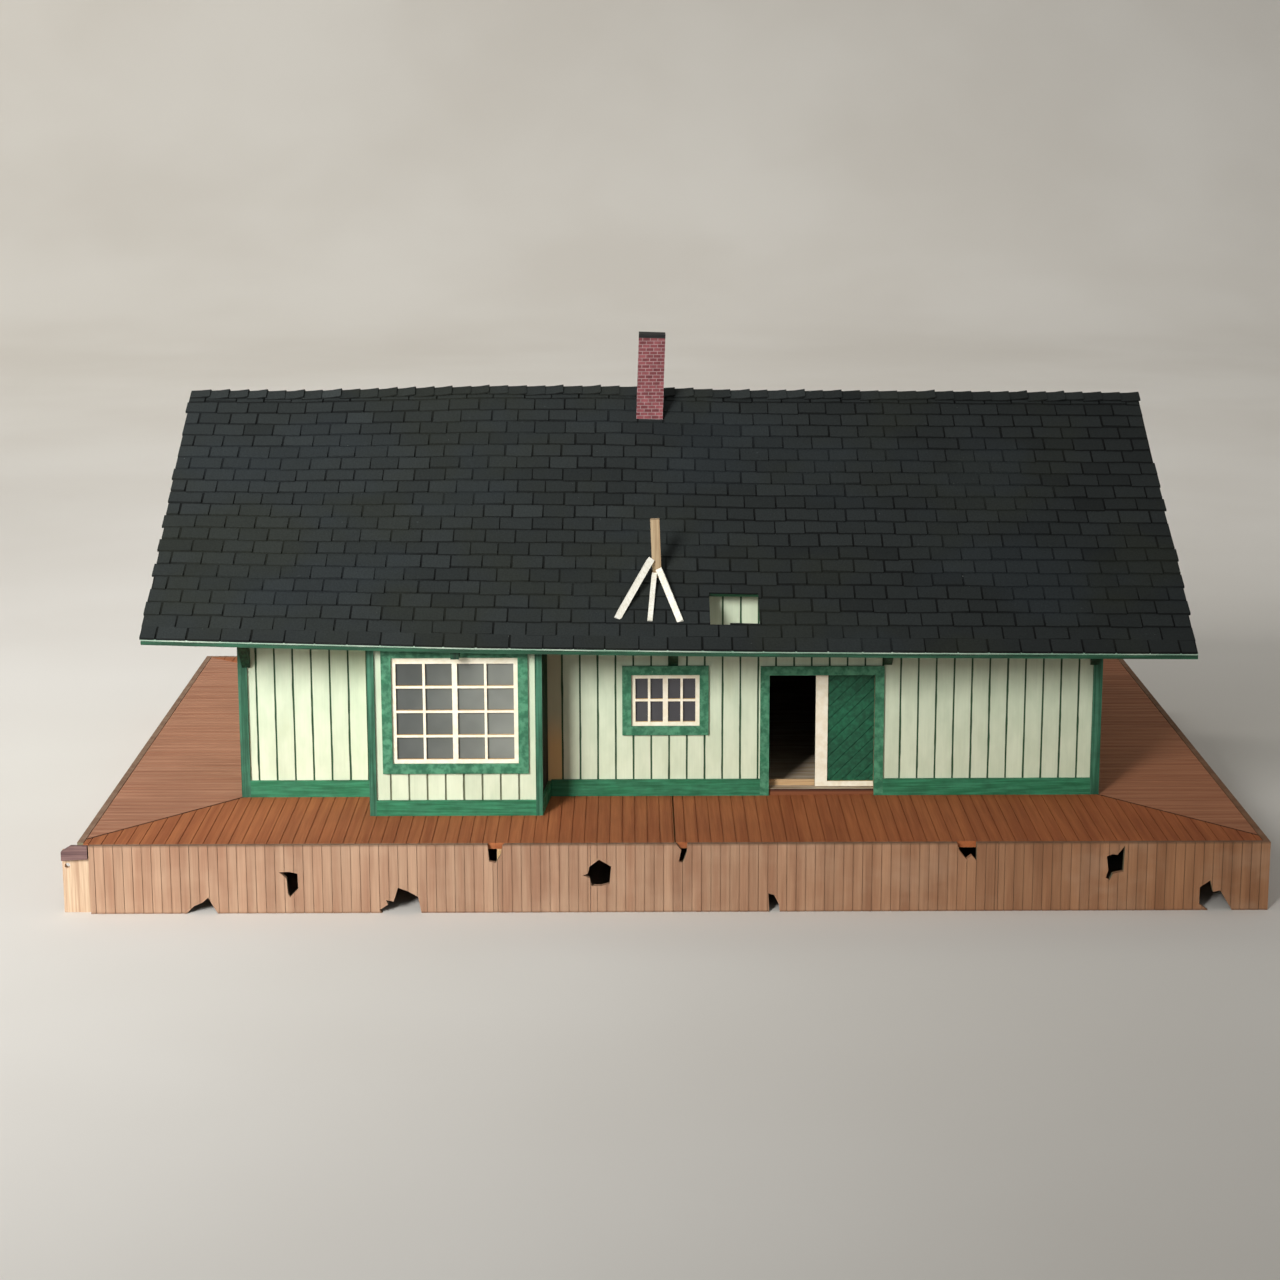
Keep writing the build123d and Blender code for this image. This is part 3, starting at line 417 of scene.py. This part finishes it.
def sash_wood():
    """Cream painted laser-cut wood, scorched orange on its cut edges."""
    coat = Coat("sash_cream", 0.7, 0.3)
    front = coat.math("ABSOLUTE", coat.facing[1])
    ends = coat.math("ABSOLUTE", coat.facing[0])
    flat = coat.math("MAXIMUM", front, ends)
    mottle = coat.noise((0.6, 0.6, 0.6), 3, 2.0)
    cream = coat.mix(coat.rise(mottle, 0.3, 0.7), srgb(236, 226, 200), srgb(246, 240, 220))
    scorched = coat.mix(mottle, srgb(206, 158, 96), srgb(232, 190, 130))
    return coat.done(coat.mix(coat.rise(flat, 0.4, 0.6), scorched, cream), mottle, 0.03)


def glass(name, left, right, low, high, top_shade):
    """Panes that go from one grey to another across the window as painted light, darker towards the upper
    left as painted shade.
    """
    coat = Coat(name, 0.2, 0.4)
    cloudy = coat.noise((0.09, 0.09, 0.09), 2, 3.0)
    # Painted light: the panes get lighter towards the right.
    colour = coat.mix(coat.rise(coat.x, low / MM, high / MM), srgb(*left), srgb(*right))
    colour = coat.shade(colour, coat.rise(cloudy, 0.3, 0.7, 0.86, 1.08))
    # Painted shade: darker towards the top, and more so at the left.
    top_left_shade = coat.math("MULTIPLY", coat.rise(coat.z, 44, 60), coat.rise(coat.x, low / MM, high / MM, 1.0, 0.2))
    colour = coat.shade(colour, coat.rise(top_left_shade, 0.0, 1.0, 1.0, top_shade))
    coat.shader.inputs["Alpha"].default_value = 0.94
    return coat.done(colour)


# ---- mesh code

class Pieces:
    """Collects closed slabs into one mesh, each with its own random tone."""

    def __init__(self):
        self.points, self.faces, self.tones = [], [], []

    def slab(self, top, bottom, tone):
        """A closed solid between two grids of points of the same size; top is the outer side."""
        rows, columns = len(top), len(top[0])
        base = len(self.points)
        for grid in (top, bottom):
            for row in grid:
                self.points.extend(row)
        under = base + rows * columns

        def face(*corners):
            self.faces.append(corners)
            self.tones.append(tone)

        for r in range(rows - 1):
            for c in range(columns - 1):
                a, b = r * columns + c, r * columns + c + 1
                d, e = a + columns, b + columns
                face(base + a, base + b, base + e, base + d)
                face(under + a, under + d, under + e, under + b)
        for c in range(columns - 1):
            last = (rows - 1) * columns
            face(base + c, under + c, under + c + 1, base + c + 1)
            face(base + last + c, base + last + c + 1, under + last + c + 1, under + last + c)
        for r in range(rows - 1):
            a, d = r * columns, (r + 1) * columns
            face(base + a, base + d, under + d, under + a)
            a, d = a + columns - 1, d + columns - 1
            face(base + a, under + a, under + d, base + d)

    def build(self, name, material, body, replaced=(), slot=None):
        mesh = bpy.data.meshes.new(name)
        mesh.from_pydata([tuple(point) for point in self.points], [], self.faces)
        tone = mesh.attributes.new("tone", "FLOAT", "FACE")
        tone.data.foreach_set("value", self.tones)
        mesh.materials.append(material)
        piece = bpy.data.objects.new(name, mesh)
        bpy.context.scene.collection.objects.link(piece)
        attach(piece, body)
        if replaced:
            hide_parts(*replaced)
        return piece


class Slope:
    """The upper face of one roof board: a place across its length and up its slope gives a point."""

    def __init__(self, name, eave_first):
        low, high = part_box(name)
        self.left, self.right = low.x, high.x
        self.eave, self.ridge = (low.y, high.y) if eave_first else (high.y, low.y)
        corners = [v.co for v in nodes[name].data.vertices]
        self.lines = []
        for y in (self.eave, self.ridge):
            tops = {}
            for v in corners:
                if abs(v.y - y) < 1e-5:
                    x = round(v.x, 5)
                    tops[x] = max(v.z, tops.get(x, 0.0))
            self.lines.append(sorted(tops.items()))

    def height(self, line, x):
        """Height of the eave (0) or of the ridge (1) at a place across the roof."""
        spots = self.lines[line]
        pairs = list(zip(spots, spots[1:]))
        (x0, z0), (x1, z1) = next((pair for pair in pairs if x <= pair[1][0]), pairs[-1])
        return z0 + (z1 - z0) * (x - x0) / (x1 - x0)

    def point(self, x, share, lift=0.0):
        """share runs from 0 at the eave to 1 at the ridge; lift is the height above the board."""
        low, high = self.height(0, x), self.height(1, x)
        y = self.eave + (self.ridge - self.eave) * share
        return Vector((x, y, low + (high - low) * share + lift))


front_slope = Slope("roof_board_front", True)
back_slope = Slope("roof_board_back", False)


def roof_hole():
    """The hole's sides across the roof, and its lower and upper edges as shares of the slope."""
    opening = next(o for o in frame["record"]["physics"]["openings"] if o["name"] == "roof_hole")
    (x0, y0, z0), (x1, y1, z1) = opening["box_m"]
    edges = []
    for v in nodes["roof_board_front"].data.vertices:
        x, y, z = v.co
        if x0 - MM < x < x1 + MM and y0 - 2 * MM < y < y1 + 2 * MM:
            share = (y - front_slope.eave) / (front_slope.ridge - front_slope.eave)
            if abs(front_slope.point(x, share).z - z) < 0.05 * MM:
                edges.append((x, share))
    xs, shares = zip(*edges)
    return min(xs), max(xs), min(shares), max(shares)


hole = roof_hole()


def outside_hole(x0, x1, s0, s1):
    """What is left of a rectangle on the front slope round the hole, as smaller rectangles."""
    left, right, low, high = hole
    if x1 <= left or x0 >= right or s1 <= low or s0 >= high:
        return [(x0, x1, s0, s1)]
    parts = []
    if x0 < left:
        parts.append((x0, left, s0, s1))
    if x1 > right:
        parts.append((right, x1, s0, s1))
    a, b = max(x0, left), min(x1, right)
    if s0 < low:
        parts.append((a, b, s0, low))
    if s1 > high:
        parts.append((a, b, high, s1))
    return parts


def turned(grid, pierced):
    """A grid of points whose rows run the way that makes a slab face outward on its slope."""
    return grid if pierced else [row[::-1] for row in grid]


def lay_shingles(slope, pierced):
    """Courses of single shingles from eave to ridge, thick at the butt, staggered by half a width."""
    pieces = Pieces()
    count = round((slope.right - slope.left) / SHINGLE_WIDTH)
    width = (slope.right - slope.left) / count
    for course in range(SHINGLE_COURSES):
        lift = STARTER if course == 0 else 0.0
        s0, s1 = course / SHINGLE_COURSES, (course + 1) / SHINGLE_COURSES
        offset = (course % 2) * width / 2 + random.uniform(-0.6, 0.6) * MM
        course_tone = random.uniform(-0.08, 0.08)
        end_left = slope.left - random.uniform(-0.2, 0.9) * MM
        end_right = slope.right + random.uniform(-0.2, 0.9) * MM
        cuts = [end_left]
        for step in range(count + 2):
            cut = slope.left + offset + (step - 0.5) * width + random.uniform(-0.5, 0.5) * MM
            if end_left + 1.5 * MM < cut < end_right - 1.5 * MM:
                cuts.append(cut)
        cuts.append(end_right)
        for left, right in zip(cuts, cuts[1:]):
            x0 = left + SHINGLE_SLOT * random.uniform(0.3, 0.8)
            x1 = right - SHINGLE_SLOT * random.uniform(0.3, 0.8)
            tone = min(1.0, max(0.12, 0.5 + course_tone + random.gauss(0, 0.1)))
            drop = random.uniform(-0.3, 0.22) * MM / abs(slope.ridge - slope.eave)
            tilt = random.uniform(-0.22, 0.22) * MM / 0.095
            curl = [random.uniform(0, 0.16) * MM for _ in range(2)]
            low = s0 + (drop if course else 0.0)
            rects = outside_hole(x0, x1, low, s1) if pierced else [(x0, x1, low, s1)]
            for a, b, c, d in rects:
                top, bottom = [], []
                for row in range(3):
                    share = c + (d - c) * row / 2
                    part = (share - low) / (s1 - low)
                    height = lift + SHINGLE_BUTT + (SHINGLE_HEAD - SHINGLE_BUTT) * part
                    tops, bottoms = [], []
                    for column in range(3):
                        x = a + (b - a) * column / 2
                        side = (x - x0) / (x1 - x0)
                        skew = tilt * (side - 0.5) if row == 0 and course and c == low else 0.0
                        curled = (curl[0] * (1 - side) + curl[1] * side) * max(0.0, 1 - 2.5 * part)
                        tops.append(slope.point(x, share + skew, height + curled))
                        bottoms.append(slope.point(x, share + skew, lift * 0.98 + 0.02 * MM))
                    top.append(tops)
                    bottom.append(bottoms)
                pieces.slab(turned(top, pierced), turned(bottom, pierced), tone)
    # The underlay pieces carry the slot tone, which the card material turns near black as painted shade.
    run = 1 / SHINGLE_COURSES
    columns = range(UNDERLAY_COLUMNS + 1)
    low_row = [slope.left + (slope.right - slope.left) * i / UNDERLAY_COLUMNS for i in columns]
    top = [[slope.point(x, s, STARTER + 0.1 * MM) for x in low_row] for s in (0.002, run)]
    bottom = [[slope.point(x, s, STARTER + 0.01 * MM) for x in low_row] for s in (0.002, run)]
    pieces.slab(turned(top, pierced), turned(bottom, pierced), SLOT_SHADE_TONE)
    whole = (slope.left, slope.right, 0.0, 1.0)
    for a, b, c, d in outside_hole(*whole) if pierced else [whole]:
        xs = [a + (b - a) * i / UNDERLAY_COLUMNS for i in columns]
        shares = [c + (d - c) * j / UNDERLAY_ROWS for j in range(UNDERLAY_ROWS + 1)]
        grid = [[(x, share) for x in xs] for share in shares]
        top = [[slope.point(x, s, 0.12 * MM) for x, s in row] for row in grid]
        bottom = [[slope.point(x, s, 0.01 * MM) for x, s in row] for row in grid]
        pieces.slab(turned(top, pierced), turned(bottom, pierced), SLOT_SHADE_TONE)
    return pieces


def lay_ridge_caps():
    """Short folded shingles over the ridge, each kicked up at its right end."""
    pieces = Pieces()
    length = (front_slope.right - front_slope.left) / RIDGE_CAPS
    for number in range(RIDGE_CAPS):
        x0 = front_slope.left + number * length + random.uniform(-0.2, 0.1) * MM
        x1 = x0 + length + 0.25 * MM
        leg = RIDGE_CAP_LEG + random.uniform(-0.3, 0.35) * MM
        skew = random.uniform(-0.3, 0.3) * MM
        kick = random.uniform(0.25, 0.6) * MM
        tone = min(1.0, max(0.0, random.gauss(0.5, 0.14)))
        top, bottom = [], []
        for column in range(3):
            along = column / 2
            x = min(x0 + (x1 - x0) * along, front_slope.right + 0.4 * MM)
            line, under = [], []
            for step in range(9):
                away = (step / 8 * 2 - 1) * leg + skew * (along - 0.5)
                slope = front_slope if away <= 0 else back_slope
                run = abs(slope.ridge - slope.eave)
                point = slope.point(x, 1 - abs(away) / run, SHINGLE_BUTT)
                rounded = 0.35 * MM * max(0.0, 1 - abs(away) / (1.2 * MM))
                lift = kick * along * along
                line.append(point + Vector((0, 0, 0.3 * MM + lift - rounded)))
                under.append(point + Vector((0, 0, lift * 0.9 - rounded)))
            top.append(line)
            bottom.append(under)
        pieces.slab(list(zip(*top)), list(zip(*bottom)), tone)
    return pieces


def clip(outline, along, limit):
    """The part of a flat outline of (x, z) points whose distance along a direction is below a limit."""
    kept = []
    for first, second in zip(outline, outline[1:] + outline[:1]):
        a = first[0] * along[0] + first[1] * along[1] - limit
        b = second[0] * along[0] + second[1] * along[1] - limit
        if a <= 0:
            kept.append(first)
        if (a < 0 < b) or (b < 0 < a):
            share = a / (a - b)
            kept.append(tuple(start + (end - start) * share for start, end in zip(first, second)))
    return kept


def lay_door_planks(panel, outward):
    """Thin planks at 45 degrees on a door panel's outer face, inside its frame."""
    low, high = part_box(panel)
    face = low.y if outward < 0 else high.y
    x0, x1 = low.x + DOOR_STILE, high.x - DOOR_STILE
    z0, z1 = low.z + DOOR_RAIL, high.z - DOOR_TOP_RAIL
    leaning = math.sqrt(0.5)
    start, stop = (x0 - z1) * leaning, (x1 - z0) * leaning
    pieces = Pieces()
    for number in range(math.ceil((stop - start) / PLANK_WIDTH)):
        near = start + number * PLANK_WIDTH + PLANK_GAP / 2
        far = near + PLANK_WIDTH - PLANK_GAP
        outline = clip([(x0, z0), (x1, z0), (x1, z1), (x0, z1)], (leaning, -leaning), far)
        outline = clip(outline, (-leaning, leaning), -near) if outline else outline
        if len(outline) < 3:
            continue
        base = len(pieces.points)
        count = len(outline)
        thick = PLANK_THICKNESS * random.uniform(0.7, 1.0)
        for depth in (0.0, outward * thick):
            pieces.points.extend(Vector((x, face + depth, z)) for x, z in outline)
        back = [base + i for i in range(count)]
        front = [base + count + i for i in range(count)]
        turn = 1 if outward < 0 else -1
        pieces.faces.append(tuple(front[::turn]))
        pieces.faces.append(tuple(back[::-turn]))
        for i in range(count):
            j = (i + 1) % count
            pieces.faces.append((back[i], back[j], front[j], front[i])[::turn])
        pieces.tones.extend([random.random()] * (count + 2))
    return pieces


# ---- the pieces

shingles = shingle_card()
front_courses = lay_shingles(front_slope, True)
front_courses.build("front_shingles", shingles, "roof", ["shingles_front"], "shingle_card")
back_courses = lay_shingles(back_slope, False)
back_courses.build("back_shingles", shingles, "roof", ["shingles_back"], "shingle_card")
lay_ridge_caps().build("ridge_caps", shingles, "roof", ["ridge_shingles"], "shingle_card")

plank_paint = brushed_green("plank_green", (0.7, 0.7, 0.7), (34, 104, 74), (20, 78, 54), False)
front_planks = lay_door_planks("freight_door_panel", -1)
front_planks.build("freight_door_planks", plank_paint, "freight_door", slot="door_green")
rear_planks = lay_door_planks("rear_door_panel", 1)
rear_planks.build("rear_door_planks", plank_paint, "rear_door", slot="door_green")

# ---- materials on the CAD nodes

front_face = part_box("front_wall_right")[0].y
front_left_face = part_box("front_wall_left")[0].y
back_low, back_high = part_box("back_wall")
end_low, end_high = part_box("left_end_wall")
right_low, right_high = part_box("right_end_wall")
bay_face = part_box("bay_front_wall")[0].y
side_low, side_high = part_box("bay_side_walls")
bay_lines = ((96, 106, 84), (120, 124, 98))


def even(low, high):
    """First line and spacing, in millimetres, of grooves spread evenly between two edges."""
    return low / MM, line_spacing(low, high, GROOVE_PITCH)


paint = {
    "front_wall_right": wall_paint("wall_paint_front", 0, *FRONT_RIGHT_GROOVES, 1, front_face, -1,
                                   stain=FRONT_RIGHT_GROOVES[0]),
    "front_wall_left": wall_paint("wall_paint_front_left", 0, *FRONT_LEFT_GROOVES, 1, front_left_face, -1),
    "back_wall": wall_paint("wall_paint_back", 0, *even(back_low.x, back_high.x), 1, back_high.y, 1),
    "left_end_wall": wall_paint("wall_paint_left_end", 1, *even(end_low.y, end_high.y), 0, end_low.x, -1),
    "right_end_wall": wall_paint("wall_paint_right_end", 1, *even(right_low.y, right_high.y),
                                 0, right_high.x, 1),
    "bay_front_wall": wall_paint("wall_paint_bay", 0, *BAY_GROOVES, 1, bay_face, -1, bay_lines),
    "bay_side_walls": bay_side_paint_and_shade("wall_paint_and_shade_bay_sides", *even(side_low.y, side_high.y),
                                     (side_low.x + side_high.x) / 2 / MM),
}

green, dark_green = (84, 148, 114), (44, 108, 78)
flat_trim = brushed_green("trim_green_flat", (0.06, 0.06, 1), (58, 134, 98), (34, 104, 70))
upright_trim = brushed_green("trim_green_upright", ALONG_Z, (66, 124, 98), (32, 84, 60))
mixed_trim = brushed_green("trim_green_mixed", (0.4, 0.4, 0.4), green, dark_green)
for name in ("baseboards", "bay_baseboard", "frieze_boards"):
    paint[name] = flat_trim
for name in ("corner_posts", "bay_corner_posts"):
    paint[name] = upright_trim
for name in ("bay_window_casing", "front_window_casing", "rear_window_casings", "end_window_casings",
             "freight_door_casing", "rear_door_casing", "passenger_door_casing"):
    paint[name] = mixed_trim
paint["eave_brackets"] = brushed_green("bracket_green", ALONG_Z, (30, 78, 54), (14, 42, 28), False)
roof_green = brushed_green("roof_green", ALONG_X, (40, 92, 66), (20, 60, 40), False)
paint["roof_board_front"] = paint["roof_board_back"] = roof_green

paint["deck_front"] = deck_stain("deck_stain_front", 0, ALONG_Y, (180, 110, 68), (160, 92, 56))
paint["deck_back"] = deck_stain("deck_stain_back", 0, ALONG_Y, (180, 110, 68), (160, 92, 56))
side_deck = deck_stain("deck_stain_sides", 1, ALONG_X, (190, 138, 110), (166, 112, 86))
paint["deck_left"] = paint["deck_right"] = side_deck
for name, across in (("fascia_front", 0), ("fascia_back", 0), ("fascia_left", 1), ("fascia_right", 1)):
    half = FASCIA_HALF[across]
    paint[name] = fascia_stain(f"fascia_stain_{name[7:]}", across, -half, half)

bare = wood("bare_wood", (206, 176, 134), (168, 132, 92), ALONG_Y)
bare_upright = wood("bare_wood_upright", (184, 162, 130), (146, 120, 90), ALONG_Z)
paint["platform_joists"] = bare
paint["wall_braces"] = bare_upright
track_wood = wood("track_wood", (206, 176, 134), (168, 132, 92), ALONG_X)
for name in ("freight_door_track", "rear_door_track", "roof_formers"):
    paint[name] = track_wood
paint["signal_mast"] = bare_upright
paint["interior_floor"] = floor_wood("floor_wood")
paint["starter_strips"] = wood("card_edge", (186, 200, 184), (110, 150, 128), ALONG_X)
paint["corner_plate"] = wood("raw_ply", (204, 178, 150), (168, 136, 110), ALONG_Z)
paint["corner_chip"] = wood("stained_chip", (128, 100, 96), (84, 62, 62), ALONG_X)
paint["mast_braces"] = wood("brace_white", (246, 244, 234), (226, 222, 206), ALONG_Z)
paint["chimney_stack"] = brick_paper()
paint["chimney_cap"] = wood("chimney_black", (44, 42, 42), (22, 22, 24), ALONG_X)
sash = sash_wood()
for name in ("bay_window_sashes", "front_window_sashes", "rear_window_sashes", "end_window_sashes",
             "freight_door_frame", "rear_door_frame"):
    paint[name] = sash
glass_low, glass_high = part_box("bay_window_glazing")
bay_pane = glass("glazing_bay", (88, 92, 90), (128, 132, 126), glass_low.x, glass_high.x, 0.7)
paint["bay_window_glazing"] = bay_pane
# Near-opaque dark grey panes for the small windows: painted shade of the unlit room behind them.
room_shade_pane = glass("glazing_dark", (66, 66, 70), (82, 82, 86), -0.1, 0.1, 0.9)
for name in ("front_window_glazing", "rear_window_glazing", "end_window_glazing"):
    paint[name] = room_shade_pane
door = brushed_green("door_green", (0.5, 0.5, 0.5), (34, 104, 72), (18, 74, 50), False)
for name in ("freight_door_panel", "rear_door_panel", "passenger_door"):
    paint[name] = door

for name, material in paint.items():
    mesh = nodes[name].data
    mesh.materials.clear()
    mesh.materials.append(material)

# ---- floor, backdrop and lights

def stage_sheet():
    """A pale sheet that lies under the object and curves up far behind it."""
    front, bend_start, bend, steps = -1.6, 1.2, 0.5, 12
    half_width, top, sink = 2.4, 2.2, 0.02 * MM
    profile = [(front, 0.0), (bend_start, 0.0)]
    for step in range(1, steps + 1):
        turn = math.pi / 2 * step / steps
        profile.append((bend_start + bend * math.sin(turn), bend * (1 - math.cos(turn))))
    profile.append((bend_start + bend, top))
    points = [(x, y, z - sink) for x in (-half_width, half_width) for y, z in profile]
    count = len(profile)
    faces = [(i, i + count, i + count + 1, i + 1) for i in range(count - 1)]
    mesh = bpy.data.meshes.new("stage_sheet")
    mesh.from_pydata(points, [], faces)
    for polygon in mesh.polygons:
        polygon.use_smooth = True
    coat = Coat("stage_paper", 0.9, 0.1)
    soft = coat.noise((0.004, 0.004, 0.004), 3, 1.0)
    colour = coat.mix(coat.rise(soft, 0.3, 0.7), srgb(218, 214, 208), srgb(226, 223, 218))
    mesh.materials.append(coat.done(colour))
    sheet = bpy.data.objects.new("stage_sheet", mesh)
    bpy.context.scene.collection.objects.link(sheet)


def area_light(name, place, target, size, power, colour, spread=180):
    data = bpy.data.lights.new(name, "AREA")
    data.spread = math.radians(spread)
    data.shape = "RECTANGLE"
    data.size, data.size_y = size
    data.energy = power
    data.color = colour
    light = bpy.data.objects.new(name, data)
    bpy.context.scene.collection.objects.link(light)
    light.location = place
    light.rotation_euler = (Vector(target) - Vector(place)).to_track_quat("-Z", "Y").to_euler()


stage_sheet()
area_light("key", (-0.62, -1.15, 0.6), (-0.23, 0.0, 0.06), (0.45, 0.45), 1.7, (1.0, 0.99, 0.97), 37)
area_light("fill", (0.3, -1.2, 0.9), (0.0, 0.0, 0.05), (0.9, 0.9), 0.6, (1.0, 0.93, 0.8))
area_light("backdrop_wash", (-0.9, 0.75, 1.1), (-0.3, 1.7, 0.55), (0.6, 0.6), 9.0, (1.0, 0.97, 0.9))
world = bpy.data.worlds.new("world")
bpy.context.scene.world = world
world.use_nodes = True
background = next(n for n in world.node_tree.nodes if n.type == "BACKGROUND")
background.inputs["Color"].default_value = (0.92, 0.92, 0.9, 1)
background.inputs["Strength"].default_value = 0.36
